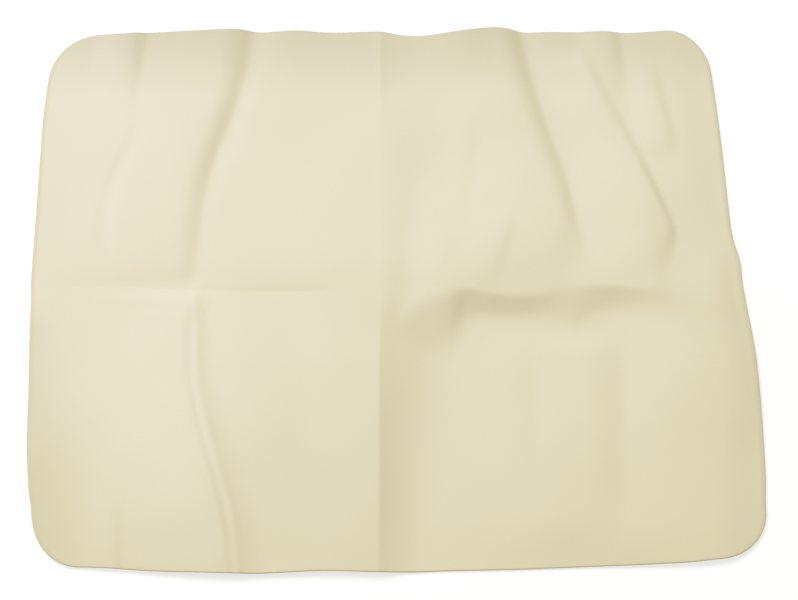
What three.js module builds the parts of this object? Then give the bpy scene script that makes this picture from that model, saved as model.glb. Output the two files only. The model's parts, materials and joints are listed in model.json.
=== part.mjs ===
// A synthetic chamois cloth laid out on a table: one soft sheet with die-cut round corners,
// two crossing fold creases from its packing, and the ripples that handling leaves in it.
// Millimetres, +Z up. X runs along the long side and Y along the short side, away from
// someone standing at the lower edge. The creases cross at x = 0, y = 0 while the relief is
// worked out, and at the end the origin goes to the middle of the underside.
// The sheet is made as the four quarters between its creases. The two quarters of the right
// half hang in a group on the fold axis, so turning that group about Y folds the cloth in half.
// A course is a list of stations with the share of a size at each. Its stations are shares of
// the half width along X, or of the half depth along Y, from the left or lower end up.
import * as THREE from "three";

const { clamp, smoothstep, degToRad } = THREE.MathUtils;

// The sheet
const clothWidth = 540;
const clothDepth = 440;
const thickness = 1.2;
const creaseGap = 0.3;
const cornerRadius = { upperLeft: 41, upperRight: 38, lowerRight: 34, lowerLeft: 40 };

// How far each laid edge stands outside the cut rectangle
const edgeDrift = {
  left: {
    reach: 17.5,
    courseShares: [
      [-1.02, -0.94],
      [-0.93, -0.99],
      [-0.86, -1],
      [-0.8, -0.93],
      [-0.75, -0.8],
      [-0.68, -0.69],
      [-0.6, -0.58],
      [-0.5, -0.5],
      [-0.4, -0.45],
      [-0.2, -0.31],
      [-0.06, -0.23],
      [0.02, -0.15],
      [0.3, -0.13],
      [0.65, -0.11],
      [0.75, -0.16],
      [0.85, -0.21],
      [1.02, -0.17],
    ],
  },
  right: {
    reach: 13.9,
    courseShares: [
      [-1.02, 0.82],
      [-0.85, 0.8],
      [-0.7, 0.94],
      [-0.5, 1],
      [-0.28, 0.97],
      [-0.16, 0.83],
      [-0.05, 0.65],
      [0.03, 0.55],
      [0.08, 0.54],
      [0.12, 0.45],
      [0.17, 0.25],
      [0.25, 0.14],
      [0.45, 0.04],
      [0.68, -0.11],
      [0.8, -0.24],
      [0.88, -0.32],
      [1.02, -0.4],
    ],
  },
  upper: {
    reach: 5,
    courseShares: [
      [-1.02, -0.62],
      [-0.85, -0.62],
      [-0.72, -0.46],
      [-0.55, -0.08],
      [-0.42, 0.16],
      [-0.36, -0.2],
      [-0.25, 0.06],
      [-0.16, -0.3],
      [0, -0.12],
      [0.07, -0.7],
      [0.13, -0.8],
      [0.22, -0.22],
      [0.29, 0.26],
      [0.35, 0.64],
      [0.39, 0.56],
      [0.44, 0.14],
      [0.52, 0.2],
      [0.6, 0.12],
      [0.68, 0.2],
      [0.75, 0],
      [0.83, 0.2],
      [0.93, 0.8],
      [1.02, 0.8],
    ],
  },
  lower: {
    reach: 14,
    courseShares: [
      [-1.02, -0.33],
      [-0.85, -0.35],
      [-0.78, -0.31],
      [-0.65, -0.14],
      [-0.5, -0.05],
      [-0.36, 0],
      [-0.16, -0.14],
      [0, -0.08],
      [0.1, -0.11],
      [0.16, -0.16],
      [0.36, -0.25],
      [0.5, -0.36],
      [0.66, -0.47],
      [0.74, -0.54],
      [0.8, -0.61],
      [0.86, -0.74],
      [0.93, -0.86],
      [1.02, -0.97],
    ],
  },
};

// The lowest part of the relief is pressed flat by the cloth's own weight
const restDepth = 0.5;

// The crease along Y, a ridge over the whole depth: long and gentle to the left and short to
// the right, where its flank is sharp at the lower end and rolls off at the upper
const ridge = {
  height: 6,
  leftWidth: 200,
  rightWidth: 46,
  riseShares: [
    [-1.02, 0.34],
    [-0.85, 0.68],
    [-0.6, 0.97],
    [-0.3, 1],
    [-0.12, 0.97],
    [0.04, 0.85],
    [0.2, 0.75],
    [0.4, 0.66],
    [0.6, 0.52],
    [0.8, 0.52],
    [1.02, 0.55],
  ],
  spreadShares: [
    [-1.02, 0.9],
    [-0.5, 1],
    [-0.1, 1],
    [0.15, 1.25],
    [0.28, 1.6],
    [0.5, 1.4],
    [0.75, 1.5],
    [1.02, 1.4],
  ],
  roundShares: [
    [-0.2, 0],
    [0.1, 0.6],
    [0.3, 0.8],
  ],
};

// The right arm of the crease along X, a step that drops towards the lower edge. Its crest
// wanders on the near side of the crease, and its drop widens where it runs into the ridge.
const step = {
  height: 5,
  farWidth: 150,
  nearWidth: 66,
  crestWander: 22,
  riseShares: [
    [-0.03, 0],
    [0, 0.67],
    [0.07, 1],
    [0.12, 1.15],
    [0.17, 1.25],
    [0.23, 1.2],
    [0.3, 1.15],
    [0.43, 1.1],
    [0.485, 0.96],
    [0.53, 0.85],
    [0.6, 1],
    [0.64, 1],
    [0.7, 0.86],
    [0.77, 0.62],
    [0.82, 0.29],
    [0.88, 0.1],
    [1.06, 0.05],
  ],
  crestShares: [
    [-0.03, -1],
    [0.05, -0.97],
    [0.1, -0.84],
    [0.13, -0.64],
    [0.155, -0.46],
    [0.18, -0.31],
    [0.22, -0.2],
    [0.34, -0.25],
    [0.43, -0.25],
    [0.52, -0.18],
    [0.6, -0.04],
    [0.64, 0.01],
    [0.7, -0.02],
    [0.77, -0.05],
    [0.88, -0.05],
    [1.06, 0],
  ],
  nearShares: [
    [-0.03, 0.82],
    [0.05, 0.91],
    [0.1, 0.97],
    [0.13, 1],
    [0.155, 0.96],
    [0.18, 0.86],
    [0.22, 0.53],
    [0.285, 0.44],
    [0.34, 0.44],
    [0.43, 0.48],
    [0.52, 0.65],
    [0.555, 0.58],
    [0.6, 0.41],
    [0.64, 0.36],
    [0.77, 0.45],
    [0.83, 0.52],
    [1.06, 0.52],
  ],
  farShares: [
    [-0.03, 1.3],
    [0.1, 1.4],
    [0.2, 1.2],
    [0.3, 1.05],
    [0.45, 1],
  ],
};
const creaseBlend = 1.2;

// The left arm of the crease along X, a fine groove with a broader upper side
const groove = {
  depth: 0.8,
  upperWidth: 7,
  lowerWidth: 4.2,
  depthShares: [
    [-1.02, 0.3],
    [-0.9, 0.4],
    [-0.5, 0.6],
    [-0.25, 1],
    [-0.1, 0.1],
    [0.12, 0.2],
    [0.2, 0],
  ],
};

// Ripples run roughly along Y. Each one climbs gently from the left and falls steeply to the
// right, with a low shoulder past its foot. A station of its course gives the share up the half
// depth, the share across the half width of the middle of the steep side, and the shares of the
// height and of the steep width there.
const shoulder = { nearWidth: 14, farWidth: 55 };
const ripples = {
  upperLeft: {
    height: 3.3,
    steepWidth: 25,
    gentleWidth: 140,
    shoulderShare: 0.14,
    courseShares: [
      [-0.09, -0.543, 0, 0.72],
      [0, -0.542, 0.2, 0.72],
      [0.08, -0.54, 0.45, 0.74],
      [0.21, -0.533, 0.68, 0.76],
      [0.37, -0.521, 0.8, 0.78],
      [0.49, -0.5, 0.88, 0.82],
      [0.6, -0.471, 0.92, 0.86],
      [0.75, -0.437, 0.97, 0.95],
      [0.88, -0.416, 1, 1.05],
      [1.02, -0.405, 1, 1.15],
    ],
  },
  upperLeftNick: {
    height: 1.6,
    steepWidth: 15,
    gentleWidth: 36,
    shoulderShare: 0,
    courseShares: [
      [0.66, -0.715, 0, 1],
      [0.82, -0.72, 0.6, 1],
      [0.93, -0.718, 0.9, 1],
      [1.02, -0.715, 1, 1],
    ],
  },
  upperRight: {
    height: 4.2,
    steepWidth: 22,
    gentleWidth: 110,
    shoulderShare: 0.05,
    courseShares: [
      [-0.02, 0.556, 0, 0.75],
      [0.08, 0.556, 0.12, 0.75],
      [0.16, 0.553, 0.3, 0.75],
      [0.27, 0.545, 0.5, 0.75],
      [0.41, 0.524, 0.64, 0.8],
      [0.53, 0.5, 0.72, 0.85],
      [0.65, 0.474, 0.82, 0.95],
      [0.77, 0.446, 0.88, 1.05],
      [0.91, 0.41, 0.9, 1.15],
      [1.02, 0.388, 0.9, 1.2],
    ],
  },
  upperRightOuter: {
    height: 2.3,
    steepWidth: 13,
    gentleWidth: 60,
    shoulderShare: 0.08,
    courseShares: [
      [0.03, 0.79, 0, 1],
      [0.11, 0.81, 0.1, 1],
      [0.2, 0.836, 0.27, 1],
      [0.31, 0.825, 0.8, 1],
      [0.41, 0.799, 1, 1],
      [0.5, 0.774, 0.95, 1],
      [0.59, 0.746, 0.9, 1],
      [0.69, 0.711, 0.85, 0.95],
      [0.77, 0.682, 0.8, 0.85],
      [0.86, 0.652, 0.6, 0.75],
      [0.95, 0.627, 0, 0.7],
    ],
  },
  upperRightNick: {
    height: 1.6,
    steepWidth: 13,
    gentleWidth: 30,
    shoulderShare: 0,
    courseShares: [
      [0.7, 0.72, 0, 1],
      [0.82, 0.713, 0.5, 1],
      [0.93, 0.701, 0.9, 1],
      [1.02, 0.693, 1, 1],
    ],
  },
  upperRightWeak: {
    height: 1,
    steepWidth: 10,
    gentleWidth: 30,
    shoulderShare: 0,
    courseShares: [
      [0.48, 0.856, 0, 1],
      [0.58, 0.852, 0.9, 1],
      [0.7, 0.838, 1, 1],
      [0.8, 0.824, 0.9, 1],
      [0.92, 0.8, 0, 1],
    ],
  },
  lowerLeft: {
    height: 3.4,
    steepWidth: 28,
    gentleWidth: 140,
    shoulderShare: 0,
    courseShares: [
      [-1.02, -0.34, 0.55, 1],
      [-0.95, -0.345, 0.75, 1.1],
      [-0.82, -0.363, 0.9, 1.1],
      [-0.69, -0.393, 0.8, 1],
      [-0.55, -0.43, 0.66, 0.9],
      [-0.41, -0.464, 0.52, 0.8],
      [-0.3, -0.482, 0.46, 0.7],
      [-0.16, -0.492, 0.44, 0.62],
      [-0.06, -0.495, 0.38, 0.55],
      [0.03, -0.497, 0, 0.55],
    ],
  },
  lowerLeftSwell: {
    height: 2.6,
    steepWidth: 80,
    gentleWidth: 80,
    shoulderShare: 0,
    courseShares: [
      [-0.98, -0.24, 0, 1],
      [-0.7, -0.28, 0.6, 1],
      [-0.4, -0.31, 1, 1],
      [-0.15, -0.31, 1, 1],
      [0.04, -0.3, 0, 1],
    ],
  },
  lowerRight: {
    height: 1.9,
    steepWidth: 34,
    gentleWidth: 80,
    shoulderShare: 0,
    courseShares: [
      [-0.98, 0.6, 0, 1],
      [-0.75, 0.615, 0.7, 1],
      [-0.6, 0.622, 1, 1],
      [-0.42, 0.632, 1, 1],
      [-0.25, 0.632, 0.8, 1],
      [-0.12, 0.62, 0, 1],
    ],
  },
  rightEdge: {
    height: 2.4,
    steepWidth: 34,
    gentleWidth: 90,
    shoulderShare: 0,
    courseShares: [
      [-0.62, 1.03, 0, 1],
      [-0.45, 1.02, 0.4, 1],
      [-0.28, 1.01, 0.9, 1],
      [-0.12, 0.99, 1, 1],
      [0, 0.98, 0.7, 0.8],
      [0.12, 0.98, 0.2, 0.7],
      [0.22, 0.98, 0, 0.7],
    ],
  },
};

// Edges that stand a little off the table
const upperLift = {
  height: 4,
  width: 46,
  steepening: 1.7,
  riseShares: [
    [-1, 0.8],
    [-0.8, 1.2],
    [-0.6, 1.1],
    [-0.4, 1],
    [-0.25, 1.1],
    [-0.05, 0.9],
    [0.08, 0.95],
    [0.25, 1.1],
    [0.36, 0.63],
    [0.6, 0.68],
    [0.8, 0.54],
    [1.02, 0.36],
  ],
};
const leftLift = {
  height: 4.4,
  width: 56,
  startShare: 0.06,
  fullShare: -0.15,
  widthShares: [
    [-1.02, 1],
    [-0.7, 0.89],
    [-0.4, 0.71],
    [-0.05, 0.54],
    [0.05, 0.46],
  ],
};
const cornerLift = { height: 3.6, width: 75, reach: 115 };

// The outer part of the right half stands in a low crown that falls to the right edge
const crown = {
  height: 2.4,
  startShare: 0.44,
  fullShare: 0.8,
  edgeWidth: 45,
  edgeShares: [
    [-1.02, 0.85],
    [-0.6, 0.9],
    [-0.3, 0.955],
    [0, 0.93],
    [0.3, 0.89],
    [1.02, 0.86],
  ],
  riseShares: [
    [-1.02, 1],
    [-0.5, 1.1],
    [0, 0.4],
    [0.5, 0.6],
    [1.02, 0.5],
  ],
};

// The lower right quarter lies a little hollow and meets the table along the lower edge
const hollow = {
  height: 2.6,
  edgeWidth: 48,
  fullShare: -0.4,
  riseShares: [
    [-0.12, 0],
    [0.08, 1.15],
    [0.25, 1.5],
    [0.5, 1.15],
    [0.75, 0.6],
    [1.06, 0.2],
  ],
};

// The fold axis lies over the highest point of the crease along Y, by the radius that the
// sheet rolls round
const foldRoll = 1;

// How finely each quarter is divided
const columns = 30;
const straightRows = 11;
const cornerRows = 6;
const rowGrading = 1.25;
const columnCrowding = 2.2;

const creamColour = 0xe6dfc8;
const clothRoughness = 0.95;

const halfWidth = clothWidth / 2;
const halfDepth = clothDepth / 2;

// A smooth curve through rising stations and their values, held at its two ends
function course(points, stationSize, valueSize, levelEnds = false) {
  const stations = points.map(([station]) => station * stationSize);
  const values = points.map(([, value]) => value * valueSize);
  const last = stations.length - 1;
  const slope = (i) => {
    if (levelEnds && (i === 0 || i === last)) return 0;
    const a = Math.max(i - 1, 0);
    const b = Math.min(i + 1, last);
    return (values[b] - values[a]) / (stations[b] - stations[a]);
  };
  return (at) => {
    const x = clamp(at, stations[0], stations[last]);
    const i = clamp(stations.findLastIndex((s) => s <= x), 0, last - 1);
    const span = stations[i + 1] - stations[i];
    const t = (x - stations[i]) / span;
    const start = (1 + 2 * t) * (1 - t) ** 2 * values[i] + t * (1 - t) ** 2 * span * slope(i);
    const end = t * t * (3 - 2 * t) * values[i + 1] + t * t * (t - 1) * span * slope(i + 1);
    return start + end;
  };
}

// From 1 to 0 over the share t of a width: a sharp flank starts at once, a ripple's rolls off
const flank = (t) => (1 - clamp(t, 0, 1)) ** 2 * (1 + clamp(t, 0, 1));
const fall = (t) => 0.5 + 0.5 * Math.cos(Math.PI * clamp(t, 0, 1));
const ease = (x, from, to) => (from < to ? smoothstep(x, from, to) : 1 - smoothstep(x, to, from));
const blendedMax = (a, b, k) => 0.5 * (a + b + Math.hypot(a - b, k) - k);
const across = (points, size = 1, levelEnds) => course(points, halfWidth, size, levelEnds);
const up = (points, size = 1, levelEnds) => course(points, halfDepth, size, levelEnds);

const ridgeRise = up(ridge.riseShares, ridge.height);
const ridgeRight = up(ridge.spreadShares, ridge.rightWidth);
const ridgeRoundness = up(ridge.roundShares);
const stepRise = across(step.riseShares, step.height);
const stepCrest = across(step.crestShares, step.crestWander);
const stepNear = across(step.nearShares, step.nearWidth);
const stepFar = across(step.farShares, step.farWidth);
const grooveDepth = across(groove.depthShares, groove.depth);
const upperRise = across(upperLift.riseShares, upperLift.height);
const leftWidth = up(leftLift.widthShares, leftLift.width);
const crownRise = up(crown.riseShares, crown.height);
const crownEdge = up(crown.edgeShares, halfWidth);
const hollowRise = across(hollow.riseShares, hollow.height, true);

function ridgeHeight(x, y) {
  if (x < 0) return ridgeRise(y) * flank(-x / ridge.leftWidth);
  const t = x / ridgeRight(y);
  const round = ridgeRoundness(y);
  return ridgeRise(y) * ((1 - round) * flank(t) + round * fall(t));
}

// Level from the crease to its crest, rolling off on the far side and sharp on the near one
function stepHeight(x, y) {
  const far = fall(y / stepFar(x));
  const near = flank((stepCrest(x) - y) / stepNear(x));
  return Math.max(stepRise(x), 0) * far * near;
}

function grooveCut(x, y) {
  return grooveDepth(x) * Math.exp(-Math.abs(y) / (y > 0 ? groove.upperWidth : groove.lowerWidth));
}

// The height function of one ripple
function rippleHeight({ height, steepWidth, gentleWidth, shoulderShare, courseShares }) {
  const column = (i, size, levelEnds) =>
    up(courseShares.map((row) => [row[0], row[i]]), size, levelEnds);
  const middle = column(1, halfWidth);
  const rise = column(2, height, true);
  const steep = column(3, steepWidth);
  const [low, high] = [courseShares[0][0] * halfDepth, courseShares.at(-1)[0] * halfDepth];
  return (x, y) => {
    if (y < low || y > high) return 0;
    const past = x - middle(y) + steep(y) / 2;
    const side = past < 0 ? fall(-past / gentleWidth) : fall(past / steep(y));
    const beyond = past - steep(y) - shoulder.nearWidth;
    const bump = beyond < 0 ? fall(-beyond / shoulder.nearWidth) : fall(beyond / shoulder.farWidth);
    return Math.max(rise(y), 0) * (side + shoulderShare * bump);
  };
}

const rippleHeights = Object.values(ripples).map(rippleHeight);

// The edges that are lifted, and the low crown and hollow of the right half
function edgeHeight(x, y) {
  const strip = Math.max((y - halfDepth + upperLift.width) / upperLift.width, 0);
  const upper = upperRise(x) * strip ** upperLift.steepening;
  const down = ease(y, leftLift.startShare * halfDepth, leftLift.fullShare * halfDepth);
  const left = down * ease(-x, halfWidth - leftWidth(y), halfWidth);
  const cornerStart = halfWidth + halfDepth - cornerLift.reach;
  const corner = ease(-x - y, cornerStart, cornerStart + cornerLift.width);
  return upper + leftLift.height * left + cornerLift.height * corner;
}

function swellHeight(x, y) {
  const out = ease(x, crown.startShare * halfWidth, crown.fullShare * halfWidth);
  const edge = 1 - ease(x, crownEdge(y), crownEdge(y) + crown.edgeWidth);
  const down = ease(y, 0, hollow.fullShare * halfDepth);
  const lower = ease(y, -halfDepth, hollow.edgeWidth - halfDepth);
  return crownRise(y) * out * edge + hollowRise(x) * down * lower;
}

// Height of the underside over the table
function undersideHeight(x, y) {
  const creases = blendedMax(ridgeHeight(x, y), stepHeight(x, y), creaseBlend);
  const handled = rippleHeights.reduce((sum, ripple) => sum + ripple(x, y), 0);
  const relief = creases + handled + edgeHeight(x, y) + swellHeight(x, y) - grooveCut(x, y);
  return Math.max(relief - restDepth, 0);
}

const leftDrift = up(edgeDrift.left.courseShares, edgeDrift.left.reach);
const rightDrift = up(edgeDrift.right.courseShares, edgeDrift.right.reach);
const upperDrift = across(edgeDrift.upper.courseShares, edgeDrift.upper.reach);
const lowerDrift = across(edgeDrift.lower.courseShares, edgeDrift.lower.reach);

// Where a point of the cut rectangle comes to lie on the table
function laidPoint(u, v) {
  const side = u < 0 ? leftDrift(v) : rightDrift(v);
  const end = v < 0 ? lowerDrift(u) : upperDrift(u);
  return [u * (1 + side / halfWidth), v * (1 + end / halfDepth)];
}

// Shares from 0 to 1 that crowd towards the ones given
function crowdedShares(count, crowdShares, reachShare) {
  const fine = Array.from({ length: count * count + 1 }, (_, i) => i / (count * count));
  const weight = (t) =>
    1 + crowdShares.reduce((w, c) => w + columnCrowding * Math.exp(-(((t - c) / reachShare) ** 2)), 0);
  const sums = fine.reduce((list, t) => [...list, list.at(-1) + weight(t)], [0]);
  const passed = sums.slice(1).map((s) => (s - sums[1]) / (sums.at(-1) - sums[1]));
  const share = course(passed.map((at, i) => [at, fine[i]]), 1, 1);
  return Array.from({ length: count + 1 }, (_, i) => share(i / count));
}

// Distances from the crease along X to the cut edge: rows along the straight side, then rows
// at even angles round the corner, each with the half width that the corner leaves
function cutRows(radius) {
  const straight = halfDepth - radius;
  const rows = [];
  for (let i = 0; i <= straightRows; i++) {
    const share = (i / straightRows) ** rowGrading;
    rows.push({ v: Math.max(straight * share, creaseGap / 2), reach: halfWidth });
  }
  for (let i = 1; i <= cornerRows; i++) {
    const angle = degToRad((90 * i) / cornerRows);
    const reach = halfWidth - radius + radius * Math.cos(angle);
    rows.push({ v: straight + radius * Math.sin(angle), reach });
  }
  return rows;
}

// One quarter as a closed solid: its upper face, its underside and the cut rim between them
function quarterGeometry({ side, end, radius, crowdShares, reachShare }) {
  const shares = crowdedShares(columns, crowdShares, reachShare);
  const rows = cutRows(radius).map(({ v, reach }) =>
    shares.map((share) => {
      const u = creaseGap / 2 + share * (reach - creaseGap / 2);
      const [x, y] = laidPoint(side * u, end * v);
      return new THREE.Vector3(x, y, undersideHeight(x, y));
    }),
  );
  const ordered = (end > 0 ? rows : rows.toReversed()).map((row) =>
    side > 0 ? row : row.toReversed(),
  );
  const under = ordered.flat();
  const upper = under.map(({ x, y, z }) => new THREE.Vector3(x, y, z + thickness));
  const perRow = columns + 1;
  const faces = [];
  const quad = (a, b, c, d) => {
    const points = [a, b, c, d].map((i) => under[i % under.length].z);
    const alongAC = Math.abs(points[0] - points[2]) <= Math.abs(points[1] - points[3]);
    faces.push(...(alongAC ? [a, b, c, a, c, d] : [a, b, d, b, c, d]));
  };
  for (let row = 0; row < ordered.length - 1; row++) {
    for (let column = 0; column < columns; column++) {
      const at = row * perRow + column;
      quad(at, at + perRow, at + perRow + 1, at + 1);
      const over = at + under.length;
      quad(over, over + 1, over + perRow + 1, over + perRow);
    }
  }
  const lastRow = (ordered.length - 1) * perRow;
  const rim = [
    ...Array.from({ length: columns }, (_, i) => i),
    ...Array.from({ length: ordered.length - 1 }, (_, i) => i * perRow + columns),
    ...Array.from({ length: columns }, (_, i) => lastRow + columns - i),
    ...Array.from({ length: ordered.length - 1 }, (_, i) => lastRow - i * perRow),
  ];
  rim.forEach((a, i) => {
    const b = rim[(i + 1) % rim.length];
    faces.push(a, b, b + under.length, a, b + under.length, a + under.length);
  });
  const geometry = new THREE.BufferGeometry().setFromPoints([...under, ...upper]);
  geometry.setIndex(faces);
  geometry.computeVertexNormals();
  return geometry;
}

// The quarters: which side of each crease, and the shares of the half width that carry ripples
const quarters = {
  upper_left_quarter: {
    side: -1,
    end: 1,
    radius: cornerRadius.upperLeft,
    crowdShares: [0.42, 0.5],
    reachShare: 0.09,
  },
  lower_left_quarter: {
    side: -1,
    end: -1,
    radius: cornerRadius.lowerLeft,
    crowdShares: [0.4, 0.5],
    reachShare: 0.09,
  },
  upper_right_quarter: {
    side: 1,
    end: 1,
    radius: cornerRadius.upperRight,
    crowdShares: [0.45, 0.54, 0.78],
    reachShare: 0.08,
  },
  lower_right_quarter: {
    side: 1,
    end: -1,
    radius: cornerRadius.lowerRight,
    crowdShares: [0.1, 0.2],
    reachShare: 0.1,
  },
};

const creaseTop = Math.max(
  ...cutRows(cornerRadius.upperLeft).map(({ v }) => undersideHeight(0, laidPoint(0, v)[1])),
  ...cutRows(cornerRadius.lowerLeft).map(({ v }) => undersideHeight(0, laidPoint(0, -v)[1])),
);
const foldAxisHeight = creaseTop + thickness + foldRoll;

const cloth = new THREE.Group();
const leftHalf = new THREE.Group();
const rightHalf = new THREE.Group();
rightHalf.position.z = foldAxisHeight;
cloth.add(leftHalf, rightHalf);

for (const [name, quarter] of Object.entries(quarters)) {
  const material = new THREE.MeshStandardMaterial({
    color: creamColour,
    roughness: clothRoughness,
    metalness: 0,
  });
  const mesh = new THREE.Mesh(quarterGeometry(quarter), material);
  mesh.name = name;
  if (quarter.side > 0) mesh.position.z = -foldAxisHeight;
  (quarter.side > 0 ? rightHalf : leftHalf).add(mesh);
}

const box = new THREE.Box3().setFromObject(cloth);
const middle = box.getCenter(new THREE.Vector3());
cloth.position.set(-middle.x, -middle.y, -box.min.z);

export default cloth;
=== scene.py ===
"""A synthetic chamois cloth laid out on a table, dressed for rendering.

The cloth is one soft cream sheet with round corners. It keeps the two crossing creases of its
packing fold and the ripples of handling. The laid outline says where each point of the flat cut
comes to lie on the table, and the relief says how high the underside stands there. Both are
worked out about the point where the creases cross, which the frame gives.

All sizes are metres. A share is a part of the cut's half width or half depth, and a course is a
smooth curve through pairs of (share, value), given from the lower or left end up.
"""

import json
import logging
import math
from dataclasses import dataclass, field
from enum import Enum
from typing import Any, ClassVar, Protocol, Sequence

import bpy
import numpy as np
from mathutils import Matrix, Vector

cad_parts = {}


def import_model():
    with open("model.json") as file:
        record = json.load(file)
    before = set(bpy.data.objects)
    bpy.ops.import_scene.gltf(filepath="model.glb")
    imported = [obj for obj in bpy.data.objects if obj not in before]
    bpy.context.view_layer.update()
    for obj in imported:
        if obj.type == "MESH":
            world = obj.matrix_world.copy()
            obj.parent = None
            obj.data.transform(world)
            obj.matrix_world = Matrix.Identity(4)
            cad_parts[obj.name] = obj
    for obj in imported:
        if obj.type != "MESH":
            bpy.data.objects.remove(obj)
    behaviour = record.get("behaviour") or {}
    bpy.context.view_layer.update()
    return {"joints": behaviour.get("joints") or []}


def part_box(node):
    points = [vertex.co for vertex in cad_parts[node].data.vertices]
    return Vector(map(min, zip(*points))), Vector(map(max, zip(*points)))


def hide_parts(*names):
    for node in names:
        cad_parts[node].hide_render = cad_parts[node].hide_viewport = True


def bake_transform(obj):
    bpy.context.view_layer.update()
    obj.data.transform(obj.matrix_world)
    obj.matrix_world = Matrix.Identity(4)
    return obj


LOG = logging.getLogger("chamois_cloth")
OPAQUE = 1.0

Course = tuple[tuple[float, float], ...]
Field = np.ndarray
Colour = tuple[float, float, float]
Source = bpy.types.NodeSocket | float | Colour


class Quarter(Enum):
    """The four quarters between the creases, named as the solids are."""

    UPPER_LEFT = "upper_left_quarter"
    UPPER_RIGHT = "upper_right_quarter"
    LOWER_LEFT = "lower_left_quarter"
    LOWER_RIGHT = "lower_right_quarter"


def along(course: Course, at: Field, level_ends: bool = False) -> Field:
    """Follows a course.

    Between two stations the curve is the cubic that has the stations' values, and whose slope at
    each is the rise between its two neighbours over their distance. It is level past the ends.

    Args:
        course: pairs of share and value, with the shares rising.
        at: the shares to look up.
        level_ends: whether the curve is level at its two ends too.

    Returns:
        The values there.
    """
    shares, values = np.array(course, float).T
    slopes = np.zeros_like(values)
    slopes[1:-1] = (values[2:] - values[:-2]) / (shares[2:] - shares[:-2])
    if not level_ends:
        slopes[[0, -1]] = (np.diff(values) / np.diff(shares))[[0, -1]]
    held = np.clip(at, shares[0], shares[-1])
    left = np.clip(np.searchsorted(shares, held, side="right") - 1, 0, len(shares) - 2)
    span = shares[left + 1] - shares[left]
    t = (held - shares[left]) / span
    start = (1 + 2 * t) * (1 - t) ** 2 * values[left] + t * (1 - t) ** 2 * span * slopes[left]
    end = t * t * (3 - 2 * t) * values[left + 1] + t * t * (t - 1) * span * slopes[left + 1]
    return start + end


def ease(at: Field, start: Field | float, end: Field | float) -> Field:
    """Goes from 0 at start to 1 at end, level at both: three times t squared less twice t cubed."""
    t = np.clip((at - start) / (end - start), 0, 1)
    return t * t * (3 - 2 * t)


def crease_flank(t: Field) -> Field:
    """Falls from 1 to 0 and is steepest at the start: (1 - t) squared."""
    return (1 - np.clip(t, 0, 1)) ** 2


def rolled_flank(t: Field) -> Field:
    """Falls from 1 to 0 and is level at both ends: half of one plus the cosine of pi times t."""
    return 0.5 + 0.5 * np.cos(np.pi * np.clip(t, 0, 1))


def straight_flank(t: Field, begin: Field, end: Field) -> Field:
    """Falls from 1 to 0 along a straight slope whose two ends are rounded.

    The slope grows in step over the first share of the flank, stays, and shrinks in step over the
    last share. What it has fallen is the area under it: half the square of the way within a
    rounded share over that share, and the way itself between the two.

    Args:
        t: how far down the flank each place lies, from 0 to 1.
        begin: the share of the flank that the upper rounded end takes.
        end: the share that the lower one takes.

    Returns:
        The height left at each place.
    """
    down = np.clip(t, 0, 1)
    begun = 0.5 * np.minimum(down, begin) ** 2 / begin + np.maximum(down - begin, 0)
    ended = 0.5 * np.maximum(down - (1 - end), 0) ** 2 / end
    return 1 - (begun - ended) / (1 - 0.5 * (begin + end))


@dataclass(frozen=True)
class FlatCut:
    """The cloth before it was laid: a die-cut rectangle with round corners."""

    half_width: float = 0.270
    half_depth: float = 0.220
    thickness: float = 0.0012
    upper_left: float = 0.041
    upper_right: float = 0.038
    lower_right: float = 0.034
    lower_left: float = 0.040

    @property
    def size(self) -> tuple[float, float]:
        """The width and depth of the rectangle."""
        return 2 * self.half_width, 2 * self.half_depth

    @property
    def area(self) -> float:
        """The area of the rectangle, less what each round corner leaves of its square.

        Returns:
            The area of one face.
        """
        radii = (self.upper_left, self.upper_right, self.lower_right, self.lower_left)
        width, depth = self.size
        return width * depth - (1 - math.pi / 4) * sum(radius**2 for radius in radii)

    def reach(self, v: Field, side: int, inset: float) -> Field:
        """Half the width of the cut at a distance from the crease along the width.

        Past the start of a round corner it is the corner's middle plus the root of the radius
        squared less the squared distance past that start.

        Args:
            v: distances from the crease, towards the upper edge where positive.
            side: 1 for the right half and -1 for the left.
            inset: how far the outline is drawn in all round.

        Returns:
            The distances from the crease along the depth to the drawn-in outline.
        """
        upper, lower = (
            (self.upper_right, self.lower_right) if side > 0 else (self.upper_left, self.lower_left)
        )
        radius = np.where(v > 0, upper, lower)
        past = np.clip(np.abs(v) - (self.half_depth - radius), 0, radius - inset)
        return self.half_width - radius + np.sqrt((radius - inset) ** 2 - past**2)


@dataclass(frozen=True)
class LaidPlaces:
    """Where points of the cloth lie on the table, from the point where the creases cross."""

    cut: FlatCut
    x: Field
    y: Field

    @property
    def across(self) -> Field:
        """The places across as shares of the half width."""
        return self.x / self.cut.half_width

    @property
    def up(self) -> Field:
        """The places up the depth as shares of the half depth."""
        return self.y / self.cut.half_depth


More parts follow.
